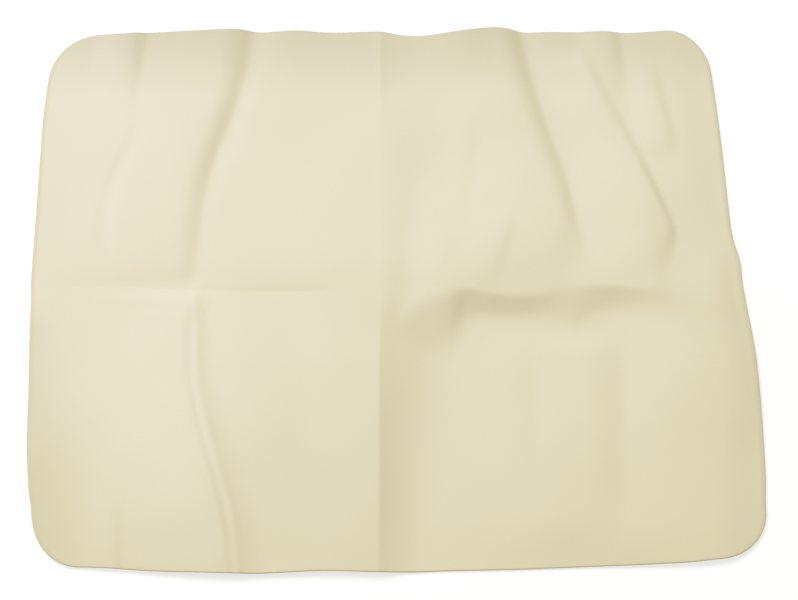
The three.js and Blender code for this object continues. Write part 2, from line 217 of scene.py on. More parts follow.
@dataclass(frozen=True)
class LaidOutline:
    """How far each laid edge lies outside the cut rectangle, along that edge."""

    left: Course = (
        (-1.02, -0.0164), (-0.93, -0.0173), (-0.86, -0.0175), (-0.8, -0.0163), (-0.75, -0.014),
        (-0.68, -0.0121), (-0.6, -0.0101), (-0.5, -0.0088), (-0.4, -0.0079), (-0.2, -0.0054),
        (-0.06, -0.004), (0.02, -0.0026), (0.3, -0.0023), (0.65, -0.0019), (0.75, -0.0028),
        (0.85, -0.0037), (1.02, -0.003),
    )
    right: Course = (
        (-1.02, 0.0114), (-0.85, 0.0111), (-0.7, 0.0131), (-0.5, 0.0139), (-0.28, 0.0135),
        (-0.16, 0.0115), (-0.05, 0.009), (0.03, 0.0076), (0.08, 0.0075), (0.12, 0.0063),
        (0.17, 0.0035), (0.25, 0.0019), (0.45, 0.0006), (0.68, -0.0015), (0.8, -0.0033),
        (0.88, -0.0044), (1.02, -0.0056),
    )
    upper: Course = (
        (-1.02, -0.0031), (-0.85, -0.0031), (-0.72, -0.0023), (-0.55, -0.0004), (-0.42, 0.0008),
        (-0.36, -0.001), (-0.25, 0.0003), (-0.16, -0.0015), (0.0, -0.0006), (0.07, -0.0035),
        (0.13, -0.004), (0.22, -0.0011), (0.29, 0.0013), (0.35, 0.0032), (0.39, 0.0028),
        (0.44, 0.0007), (0.52, 0.001), (0.6, 0.0006), (0.68, 0.001), (0.75, 0.0), (0.83, 0.001),
        (0.93, 0.004), (1.02, 0.004),
    )
    lower: Course = (
        (-1.02, -0.0046), (-0.85, -0.0049), (-0.78, -0.0043), (-0.65, -0.002), (-0.5, -0.0007),
        (-0.36, 0.0), (-0.16, -0.002), (0.0, -0.0011), (0.1, -0.0015), (0.16, -0.0022),
        (0.36, -0.0035), (0.5, -0.005), (0.66, -0.0066), (0.74, -0.0076), (0.8, -0.0085),
        (0.86, -0.0104), (0.93, -0.012), (1.02, -0.0136),
    )

    def lay(self, cut: FlatCut, u: Field, v: Field) -> LaidPlaces:
        """Moves points of the flat cut to where they lie on the table.

        A point moves across in step with its share of the half width, by the drift of the side
        edge at its depth, and up or down the same way by the drift of the nearer long edge.

        Args:
            cut: the flat cut.
            u: distances from the crease along the depth.
            v: distances from the crease along the width.

        Returns:
            The laid places.
        """
        across, up = u / cut.half_width, v / cut.half_depth
        side = np.where(u < 0, along(self.left, up), along(self.right, up))
        end = np.where(v < 0, along(self.lower, across), along(self.upper, across))
        return LaidPlaces(cut, u + across * side, v + up * end)


class ReliefForm(Protocol):
    """Anything that lifts the cloth off the table."""

    def height(self, at: LaidPlaces) -> Field:
        """The height that it adds at laid places."""


@dataclass(frozen=True)
class PackingCreases:
    """The two creases of the packing fold, blended where they meet.

    The crease along the depth is a ridge over the whole cloth. The right arm of the crease along
    the width is a step that drops towards the lower edge, and its left arm is a fine groove. The
    courses say how heights, widths, roundings and places change along each crease.
    """

    ridge_height: float = 0.0066
    ridge_left: float = 0.290
    ridge_right: float = 0.046
    ridge_rise: Course = (
        (-1.02, 0.62), (-0.85, 0.88), (-0.6, 1.1), (-0.3, 1.08), (-0.15, 1.0), (0.0, 1.0),
        (0.1, 1.0), (0.27, 0.84), (0.45, 0.64), (0.6, 0.54), (0.8, 0.52), (0.9, 0.48), (1.02, 0.4),
    )
    ridge_spread: Course = (
        (-1.02, 1.05), (-0.6, 1.1), (-0.5, 1.2), (-0.35, 1.4), (-0.2, 1.5), (0.0, 1.6), (0.1, 1.7),
        (0.27, 1.5), (0.5, 1.4), (0.7, 1.45), (0.83, 1.45), (0.93, 1.2), (1.02, 0.9),
    )
    ridge_path: Course = (
        (-1.02, -0.0005), (-0.3, -0.0004), (-0.1, 0.0005), (1.02, 0.0005),
    )
    ridge_roundness: Course = (
        (-0.45, 0.0), (-0.25, 0.05), (-0.12, 0.4), (-0.04, 0.85), (0.05, 1.0), (0.55, 1.0),
        (0.7, 0.6), (0.83, 0.15), (1.02, 0.0),
    )
    bead_height: float = 0.00012
    bead_width: float = 0.004
    bead_share: Course = ((-1.02, 0.0), (-0.2, 0.0), (0.05, 0.6), (0.3, 1.0), (1.02, 1.0))
    step_height: float = 0.0050
    step_far: float = 0.150
    step_rise: Course = (
        (-0.03, 0.0), (0.0, 0.8), (0.05, 1.0), (0.11, 1.2), (0.16, 1.3), (0.2, 1.3), (0.27, 1.18),
        (0.32, 1.08), (0.4, 0.98), (0.47, 0.9), (0.54, 0.82), (0.62, 0.9), (0.66, 0.9), (0.72, 0.8),
        (0.77, 0.68), (0.83, 0.4), (0.9, 0.22), (1.06, 0.1),
    )
    step_crest: Course = (
        (-0.03, -0.024), (0.05, -0.02), (0.1, -0.01), (0.14, -0.004), (0.2, -0.0015),
        (0.24, -0.001), (0.28, -0.002), (0.32, -0.0045), (0.45, -0.0038), (0.5, 0.001),
        (0.54, 0.004), (0.58, 0.0035), (0.63, 0.0022), (0.7, 0.001), (0.77, 0.0005), (0.88, -0.003),
        (1.06, -0.003),
    )
    step_near: Course = (
        (-0.03, 0.058), (0.05, 0.062), (0.1, 0.066), (0.14, 0.066), (0.2, 0.06), (0.24, 0.043),
        (0.277, 0.032), (0.32, 0.0245), (0.384, 0.03), (0.45, 0.034), (0.5, 0.043), (0.54, 0.049),
        (0.58, 0.04), (0.63, 0.031), (0.68, 0.028), (0.77, 0.034), (0.88, 0.04), (1.06, 0.04),
    )
    step_far_share: Course = (
        (-0.03, 1.2), (0.1, 1.1), (0.2, 0.95), (0.3, 0.95), (0.45, 1.0), (1.06, 1.0),
    )
    step_begin: Course = (
        (0.0, 0.3), (0.14, 0.25), (0.2, 0.15), (0.24, 0.1), (0.277, 0.13), (0.32, 0.2),
        (0.384, 0.2), (0.45, 0.18), (0.54, 0.25), (0.65, 0.12), (0.77, 0.22), (1.06, 0.4),
    )
    step_end: Course = (
        (0.0, 0.4), (0.14, 0.4), (0.2, 0.55), (0.24, 0.8), (0.277, 0.6), (0.32, 0.3), (0.384, 0.5),
        (0.45, 0.65), (0.54, 0.4), (0.65, 0.6), (1.06, 0.6),
    )
    blend: float = 0.0012
    groove_depth: float = 0.00040
    groove_path: Course = (
        (-1.02, 0.0005), (-0.7, -0.0003), (-0.6, -0.001), (-0.5, -0.0028), (-0.2, -0.0042),
        (-0.08, -0.002), (0.2, 0.0),
    )
    groove_above: float = 0.0070
    groove_below: float = 0.030
    groove_share: Course = (
        (-1.02, 0.6), (-0.9, 0.8), (-0.7, 1.0), (-0.5, 1.2), (-0.4, 1.4), (-0.25, 2.0), (-0.17, 1.0),
        (-0.1, 0.2), (0.0, 0.2), (0.12, 0.4), (0.2, 0.0),
    )

    def ridge(self, at: LaidPlaces) -> Field:
        """The ridge: its rise at that depth times a flank that falls away on either side.

        On the right the flank is part crease flank and part rolled flank, by the roundness.

        Args:
            at: the laid places.

        Returns:
            The ridge's height.
        """
        off = at.x - along(self.ridge_path, at.up)
        right = off / (self.ridge_right * along(self.ridge_spread, at.up))
        roundness = along(self.ridge_roundness, at.up)
        falling = (1 - roundness) * crease_flank(right) + roundness * rolled_flank(right)
        flank = np.where(off < 0, rolled_flank(-off / self.ridge_left), falling)
        return self.ridge_height * along(self.ridge_rise, at.up) * flank

    def step(self, at: LaidPlaces) -> Field:
        """The step: its rise across times a rolled far side and a straight near side.

        Args:
            at: the laid places.

        Returns:
            The step's height.
        """
        across = at.across
        rise = np.maximum(along(self.step_rise, across), 0)
        rise = np.where(across < self.step_rise[0][0], 0, rise)
        far = rolled_flank(at.y / (self.step_far * along(self.step_far_share, across)))
        past = (along(self.step_crest, across) - at.y) / along(self.step_near, across)
        near = straight_flank(past, along(self.step_begin, across), along(self.step_end, across))
        return self.step_height * rise * far * near

    def height(self, at: LaidPlaces) -> Field:
        """The larger of ridge and step, rounded where they meet, with the bead and the groove.

        The rounded larger of a and b is half of a plus b plus the length of (a - b, blend), less
        half the blend.

        Args:
            at: the laid places.

        Returns:
            The height that the creases add.
        """
        ridge, step = self.ridge(at), self.step(at)
        larger = 0.5 * (ridge + step + np.hypot(ridge - step, self.blend) - self.blend)
        bead = self.bead_height * along(self.bead_share, at.up)
        bead *= np.exp(-np.abs(at.x) / self.bead_width)
        groove = self.groove_depth * along(self.groove_share, at.across)
        off = at.y - along(self.groove_path, at.across)
        width = np.where(off > 0, self.groove_above, self.groove_below)
        return larger + bead - groove * np.exp(-np.abs(off) / width)


@dataclass(frozen=True)
class Ripple:
    """A ripple along the depth, gentle on its left side and steep on its right.

    Each station gives the share up the half depth, the share across the half width of a point on
    the steep side, and the height and steep width there as parts of the ripple's own. The lead is
    how far down the steep side that point lies, as a part of it.
    """

    name: str
    rise: float
    steep: float
    gentle: float
    stations: tuple[tuple[float, float, float, float], ...]
    shoulder: float = 0.0
    crest_rounding: float = 0.6
    foot_rounding: float = 0.25
    lead: float = 0.56
    shoulder_near: float = 0.014
    shoulder_far: float = 0.055

    ACROSS: ClassVar[int] = 1
    HEIGHT: ClassVar[int] = 2
    WIDTH: ClassVar[int] = 3

    def course(self, column: int) -> Course:
        """One column of the stations as a course up the depth."""
        return tuple((station[0], station[column]) for station in self.stations)

    def height(self, at: LaidPlaces) -> Field:
        """The height of the ripple.

        From its crest it falls as a rolled flank over the gentle width to the left, and as a
        straight one with a crisp foot over the steep width to the right. Past the foot a low
        shoulder rises and falls as rolled flanks.

        Args:
            at: the laid places.

        Returns:
            The height that the ripple adds.
        """
        up, half_width = at.up, at.cut.half_width
        steep = self.steep * along(self.course(self.WIDTH), up)
        past = at.x - along(self.course(self.ACROSS), up) * half_width + self.lead * steep
        falling = straight_flank(past / steep, self.crest_rounding, self.foot_rounding)
        side = np.where(past < 0, rolled_flank(-past / self.gentle), falling)
        beyond = past - steep - self.shoulder_near
        shoulder = np.where(
            beyond < 0,
            rolled_flank(-beyond / self.shoulder_near),
            rolled_flank(beyond / self.shoulder_far),
        )
        low, high = self.stations[0][0], self.stations[-1][0]
        share = np.maximum(along(self.course(self.HEIGHT), up, True), 0)
        share = np.where((up < low) | (up > high), 0, share)
        return self.rise * share * (side + self.shoulder * shoulder)


@dataclass(frozen=True)
class LiftedEdges:
    """The upper edge and the lower half of the left edge stand up a little."""

    power: float = 2.0
    upper_rise: float = 0.0046
    upper_width: float = 0.056
    upper_share: Course = (
        (-1.0, 0.8), (-0.8, 1.2), (-0.6, 1.1), (-0.4, 1.0), (-0.25, 1.1), (-0.05, 0.9),
        (0.08, 0.95), (0.25, 1.02), (0.36, 0.63), (0.6, 0.68), (0.8, 0.54), (1.02, 0.36),
    )
    left_rise: float = 0.0060
    left_share: Course = (
        (-1.02, 0.95), (-0.85, 1.15), (-0.65, 1.1), (-0.4, 0.8), (-0.2, 0.65), (0.1, 0.6),
    )
    left_start: float = 0.06
    left_full: float = -0.15
    left_width: Course = (
        (-1.02, 0.078), (-0.8, 0.074), (-0.6, 0.066), (-0.4, 0.054), (-0.2, 0.044), (-0.05, 0.034),
        (0.05, 0.03),
    )

    def height(self, at: LaidPlaces) -> Field:
        """The lift of the edges.

        Both edges rise as a power of the way into their strips, and the left one eases out up the
        depth.

        Args:
            at: the laid places.

        Returns:
            The height that the lifted edges add.
        """
        strip = np.maximum((at.y - at.cut.half_depth + self.upper_width) / self.upper_width, 0)
        upper = self.upper_rise * along(self.upper_share, at.across) * strip**self.power
        width = along(self.left_width, at.up)
        left = self.left_rise * along(self.left_share, at.up)
        left *= np.maximum((width - at.x - at.cut.half_width) / width, 0) ** self.power
        left *= ease(-at.up, -self.left_start, -self.left_full)
        return upper + left


@dataclass(frozen=True)
class RightHalfSwell:
    """The right half has a low crown near its outer edge, and its lower quarter stands hollow."""

    crown_rise: float = 0.0024
    crown_start: float = 0.50
    crown_full: float = 0.90
    crown_fall: float = 0.045
    crown_edge: Course = (
        (-1.02, 0.238), (-0.6, 0.25), (-0.3, 0.258), (0.0, 0.252), (0.3, 0.24), (1.02, 0.232),
    )
    crown_share: Course = ((-1.02, 1.0), (-0.5, 1.1), (0.0, 0.4), (0.5, 0.6), (1.02, 0.5))
    hollow_rise: float = 0.0026
    hollow_share: Course = (
        (0.04, 0.0), (0.2, 0.38), (0.42, 0.95), (0.75, 0.8), (1.06, 0.2),
    )
    hollow_down: float = 0.85
    hollow_edge: float = 0.042

    def height(self, at: LaidPlaces) -> Field:
        """The height of the crown and of the hollow.

        The crown eases up across and eases down past its edge. The hollow eases in down the depth,
        and in its strip along the lower edge it falls by the square of the way towards the edge.

        Args:
            at: the laid places.

        Returns:
            The height that the two add.
        """
        edge = along(self.crown_edge, at.up)
        crown = self.crown_rise * along(self.crown_share, at.up)
        crown *= ease(at.across, self.crown_start, self.crown_full)
        crown *= 1 - ease(at.x, edge, edge + self.crown_fall)
        hollow = self.hollow_rise * np.where(at.across < self.hollow_share[0][0], 0, 1)
        hollow = hollow * along(self.hollow_share, at.across, True)
        hollow *= ease(-at.up, 0, self.hollow_down)
        hollow *= 1 - (1 - np.clip((at.y + at.cut.half_depth) / self.hollow_edge, 0, 1)) ** 2
        return crown + hollow


@dataclass(frozen=True)
class Unevenness:
    """The slight waviness of soft sheet that was never quite flat."""

    rise: float = 0.00010
    shortest: float = 0.030
    longest: float = 0.110
    waves: int = 14
    seed: int = 5

    def height(self, at: LaidPlaces) -> Field:
        """A sum of sine waves of chance length, direction and phase, each a like part of the rise.

        Args:
            at: the laid places.

        Returns:
            The height that the waves add.
        """
        chance = np.random.default_rng(self.seed)
        total = np.zeros_like(at.x)
        for _ in range(self.waves):
            length = chance.uniform(self.shortest, self.longest)
            heading, phase = chance.uniform(0, 2 * math.pi, 2)
            way = at.x * math.cos(heading) + at.y * math.sin(heading)
            total += np.sin(2 * math.pi * way / length + phase)
        return self.rise * total / math.sqrt(self.waves)


RIPPLES: tuple[Ripple, ...] = (
    Ripple("upper left", rise=0.0031, steep=0.025, gentle=0.140, shoulder=0.06, stations=(
        (-0.09, -0.55, 0, 0.72), (0.0, -0.549, 0.2, 0.72), (0.08, -0.547, 0.45, 0.74),
        (0.21, -0.54, 0.6, 0.76), (0.37, -0.527, 0.7, 0.78), (0.49, -0.506, 0.78, 0.82),
        (0.6, -0.477, 0.85, 0.86), (0.75, -0.443, 0.94, 0.95), (0.88, -0.423, 1, 1.05),
        (1.02, -0.412, 1, 1.15),
    )),
    Ripple("upper right", rise=0.0041, steep=0.022, gentle=0.110, shoulder=0.05, stations=(
        (-0.12, 0.56, 0, 3), (-0.04, 0.56, 0.12, 3), (0.04, 0.56, 0.23, 2.8), (0.1, 0.558, 0.32, 2),
        (0.16, 0.554, 0.42, 1.2), (0.27, 0.545, 0.56, 0.75), (0.41, 0.524, 0.68, 0.8),
        (0.53, 0.498, 0.8, 0.85), (0.65, 0.469, 0.96, 0.95), (0.77, 0.44, 1.06, 1.05),
        (0.91, 0.408, 1.08, 1.15), (1.02, 0.388, 1.0, 1.2),
    )),
    Ripple("upper right outer", rise=0.0019, steep=0.010, gentle=0.055, shoulder=0.03, stations=(
        (-0.12, 0.77, 0, 3.5), (-0.04, 0.78, 0.1, 3.4), (0.04, 0.79, 0.24, 3),
        (0.1, 0.81, 0.42, 2.3), (0.16, 0.828, 0.68, 1.4), (0.22, 0.837, 0.9, 0.9),
        (0.31, 0.814, 1.1, 0.9), (0.41, 0.783, 1.1, 1), (0.5, 0.757, 1, 1), (0.59, 0.724, 0.9, 1),
        (0.69, 0.688, 0.85, 0.95), (0.77, 0.659, 0.8, 0.9), (0.86, 0.627, 0.6, 0.8),
        (0.95, 0.602, 0, 0.7),
    )),
    Ripple("upper right nick", rise=0.0015, steep=0.013, gentle=0.030, stations=(
        (0.7, 0.72, 0, 1), (0.82, 0.715, 0.5, 1), (0.93, 0.706, 0.9, 1), (1.02, 0.7, 1, 1),
    )),
    Ripple("upper right weak", rise=0.0010, steep=0.010, gentle=0.030, stations=(
        (0.48, 0.856, 0, 1), (0.58, 0.852, 0.9, 1), (0.7, 0.838, 1, 1), (0.8, 0.824, 0.9, 1),
        (0.92, 0.80, 0, 1),
    )),
    Ripple("upper right short", rise=0.0006, steep=0.010, gentle=0.034, stations=(
        (-0.04, 0.318, 0, 1), (0.06, 0.335, 0.8, 1), (0.16, 0.358, 1, 1), (0.23, 0.373, 0.7, 1),
        (0.32, 0.38, 0, 1),
    )),
    Ripple("upper right faint", rise=0.0004, steep=0.014, gentle=0.045, stations=(
        (0.2, 0.235, 0, 1), (0.33, 0.242, 0.8, 1), (0.48, 0.258, 1, 1), (0.6, 0.268, 0.8, 1),
        (0.72, 0.275, 0, 1),
    )),
    Ripple("upper left nick", rise=0.0016, steep=0.012, gentle=0.036, stations=(
        (0.66, -0.73, 0, 1), (0.82, -0.727, 0.6, 1), (0.93, -0.719, 0.9, 1), (1.02, -0.715, 1, 1),
    )),
    Ripple("upper left weak", rise=-0.0003, steep=0.009, gentle=0.010, stations=(
        (0.02, -0.745, 0, 1), (0.1, -0.76, 0.6, 1), (0.21, -0.775, 1, 1), (0.33, -0.768, 1, 1),
        (0.45, -0.742, 0.9, 1), (0.56, -0.705, 0.7, 1), (0.72, -0.68, 0, 1),
    )),
    Ripple("lower left", rise=0.0036, steep=0.028, gentle=0.140, stations=(
        (-1.02, -0.34, 0.55, 1), (-0.95, -0.345, 0.75, 1.1), (-0.82, -0.363, 0.9, 1.1),
        (-0.69, -0.393, 0.8, 1), (-0.55, -0.43, 0.66, 0.9), (-0.41, -0.464, 0.52, 0.8),
        (-0.3, -0.482, 0.46, 0.7), (-0.16, -0.492, 0.44, 0.62), (-0.06, -0.495, 0.38, 0.55),
        (0.03, -0.497, 0, 0.55),
    ), crest_rounding=1.0, foot_rounding=0.8),
    Ripple("lower left bead", rise=0.00015, steep=0.006, gentle=0.006, stations=(
        (-1.02, -0.362, 1, 1), (-0.82, -0.382, 1, 1), (-0.69, -0.414, 1, 1), (-0.55, -0.452, 1, 1),
        (-0.41, -0.484, 0.8, 1), (-0.3, -0.494, 0.6, 1), (-0.1, -0.499, 0.35, 1),
        (0.0, -0.501, 0, 1),
    )),
    Ripple("lower left score", rise=-0.0006, steep=0.0055, gentle=0.005, stations=(
        (-1.02, -0.378, 0.6, 1), (-0.82, -0.402, 0.9, 1), (-0.69, -0.431, 1, 1),
        (-0.55, -0.467, 1, 1), (-0.41, -0.497, 1, 1), (-0.3, -0.513, 0.8, 1),
        (-0.15, -0.518, 0.8, 1), (-0.03, -0.515, 0, 1),
    )),
    Ripple("lower left dent", rise=0.0008, steep=0.010, gentle=0.028, stations=(
        (-1.02, -0.692, 0.8, 1), (-0.9, -0.7, 1, 1), (-0.8, -0.711, 0.6, 1), (-0.7, -0.715, 0, 1),
    )),
    Ripple("lower left swell", rise=0.0023, steep=0.080, gentle=0.080, stations=(
        (-0.98, -0.24, 0, 1), (-0.7, -0.28, 0.6, 1), (-0.45, -0.31, 0.95, 1),
        (-0.3, -0.31, 0.75, 1), (-0.15, -0.31, 0.42, 1), (-0.05, -0.31, 0.15, 1),
        (0.04, -0.3, 0, 1),
    )),
    Ripple("lower right", rise=0.0019, steep=0.034, gentle=0.080, stations=(
        (-0.98, 0.6, 0, 1), (-0.75, 0.615, 0.7, 1), (-0.6, 0.622, 1, 1), (-0.42, 0.632, 1, 1),
        (-0.25, 0.632, 0.8, 1), (-0.12, 0.62, 0, 1),
    )),
    Ripple("lower right inner", rise=0.0008, steep=0.030, gentle=0.060, stations=(
        (-0.8, 0.375, 0, 1), (-0.5, 0.395, 1, 1), (-0.3, 0.395, 1, 1), (-0.12, 0.385, 0, 1),
    )),
    Ripple("right edge", rise=0.0024, steep=0.034, gentle=0.090, stations=(
        (-0.62, 1.03, 0, 1), (-0.45, 1.02, 0.4, 1), (-0.28, 1.01, 0.9, 1), (-0.12, 0.99, 1, 1),
        (0.0, 0.98, 0.7, 0.8), (0.12, 0.98, 0.2, 0.7), (0.22, 0.98, 0, 0.7),
    )),
)


@dataclass(frozen=True)
class Relief:
    """How the laid cloth stands off the table."""

    forms: tuple[ReliefForm, ...] = (
        PackingCreases(), *RIPPLES, LiftedEdges(), RightHalfSwell(), Unevenness(),
    )
    rest_depth: float = 0.0005
    softness: float = 0.0006

    def underside(self, at: LaidPlaces) -> Field:
        """The height of the underside over the table.

        What lies deeper than the rest depth is pressed flat, softly: the height is half of a plus
        the length of (a, softness), where a is the relief less the rest depth.

        Args:
            at: the laid places.

        Returns:
            The heights, none below the table.
        """
        relief = sum(form.height(at) for form in self.forms) - self.rest_depth
        return 0.5 * (relief + np.hypot(relief, self.softness))


@dataclass(frozen=True)
class NapFinish:
    """The matte, faintly fibrous finish of synthetic chamois."""

    name: str = "chamois_nap"
    pale: Colour = (0.785, 0.736, 0.615)
    warm: Colour = (0.782, 0.722, 0.515)
    cut_shade: Colour = (0.70, 0.63, 0.45)
    roughness: float = 0.88
    sheen: float = 0.12
    sheen_roughness: float = 0.5
    specular: float = 0.25
    warmth_middle: float = 0.42
    # The growth of warmth across and up is painted light: paler towards the softbox at the upper
    # left.
    painted_light_across: float = 1.0
    painted_light_up: float = -1.3
    # Painted shade: flanks that fall away from the softbox are painted warmer.
    painted_shade_warmth: float = 4.0
    # Painted shade: a strip along the lifted upper edge is painted darker.
    strip_start: float = 0.163
    strip_width: float = 0.045
    painted_edge_shade: float = 0.050
    # Painted shade: the lower left corner is painted darker and warmer.
    corner: tuple[float, float] = (-0.285, -0.225)
    corner_reach: float = 0.15
    corner_painted_warmth: float = 0.75
    corner_painted_shade: float = 0.075
    blotch_length: float = 0.055
    fibre_length: float = 0.0011
    pore_length: float = 0.0008
    blotch_share: float = 0.10
    fibre_share: float = 0.05
    blotch_detail: float = 3.0
    fibre_detail: float = 5.0
    fibre_distortion: float = 0.6
    pore_share: float = 0.5
    noise_middle: float = 0.5
    bump_strength: float = 0.35
    bump_distance: float = 0.00012

    def material(self) -> bpy.types.Material:
        """Makes the finish.

        The colour goes from pale to warm across the cloth with soft blotches, and fine fibres
        vary its lightness. The pale upper left, towards the softbox, and the warm lower right are
        painted light. Flanks that fall away from the softbox are painted warmer as painted shade,
        a strip along the upper edge is painted darker as shade, and the lower left corner is
        painted darker and warmer as shade. Fibres and pores raise the bump, and the cut rim is a
        shade darker. Patterns follow the flat cloth through the piece's own attribute.

        Returns:
            The material.
        """
        board = NodeBoard(self.name)
        flat = board.attribute(ChamoisSheet.FLAT_PLACE, "Vector")
        rim = board.attribute(ChamoisSheet.RIM, "Fac")
        # How far each place falls away from the softbox, for the painted shade.
        fall = board.attribute(ChamoisSheet.SHADED_FALL, "Fac")
        blotch = board.noise(flat, self.blotch_length, self.blotch_detail)
        fibre = board.noise(flat, self.fibre_length, self.fibre_detail, self.fibre_distortion)
        pores = board.cells(flat, self.pore_length)
        # Painted light: pale towards the softbox at the upper left, warm away from it.
        warmth_with_painted_light = board.painted_light_toning(flat, self.painted_light_across, self.painted_light_up, self.warmth_middle)
        # Painted shade: the lower left corner is warmer and darker.
        corner = board.near(flat, self.corner, self.corner_reach)
        warmth_with_painted_light = board.sum_of(warmth_with_painted_light, board.product(corner, self.corner_painted_warmth))
        # Painted shade: flanks falling away from the softbox are painted warmer.
        warmth_with_painted_light = board.sum_of(warmth_with_painted_light, board.product(fall, self.painted_shade_warmth))
        tone = board.sum_of(warmth_with_painted_light, board.scaled(blotch, -self.noise_middle, self.blotch_share))
        cream = board.blend(tone, self.pale, self.warm)
        # Painted shade: darker along the upper edge and at the lower left corner.
        strip = board.strip(flat, self.strip_start, self.strip_width)
        shade = board.sum_of(
            board.product(strip, -self.painted_edge_shade), board.product(corner, -self.corner_painted_shade)
        )
        lightness = board.sum_of(board.scaled(fibre, -self.noise_middle, self.fibre_share), shade)
        grained = board.shaded(cream, lightness)
        colour = board.blend(rim, grained, self.cut_shade)
        relief = board.sum_of(fibre, board.product(pores, self.pore_share))
        bump = board.add("ShaderNodeBump", {
            "Strength": self.bump_strength, "Distance": self.bump_distance, "Height": relief,
        })
        shader = board.add("ShaderNodeBsdfPrincipled", {
            "Base Color": colour,
            "Roughness": self.roughness,
            "Specular IOR Level": self.specular,
            "Sheen Weight": self.sheen,
            "Sheen Roughness": self.sheen_roughness,
            "Normal": bump.outputs["Normal"],
        })
        board.finish(shader.outputs["BSDF"])
        return board.holder


@dataclass(frozen=True)
class FloorFinish:
    """A pale matte floor that the camera sees as white, with the cloth's shadow on it."""

    name: str = "pale_floor"
    shade: float = 0.34
    glow: float = 0.70

    def material(self) -> bpy.types.Material:
        """Makes the finish: matte, with a glow that only the camera and reflections see.

        Returns:
            The material.
        """
        board = NodeBoard(self.name)
        matte = board.add("ShaderNodeBsdfDiffuse", {"Color": (self.shade, self.shade, self.shade)})
        strength = board.product(board.seen(), self.glow)
        glow = board.add("ShaderNodeEmission", {"Strength": strength})
        both = board.add("ShaderNodeAddShader", {0: matte.outputs[0], 1: glow.outputs[0]})
        board.finish(both.outputs[0])
        return board.holder


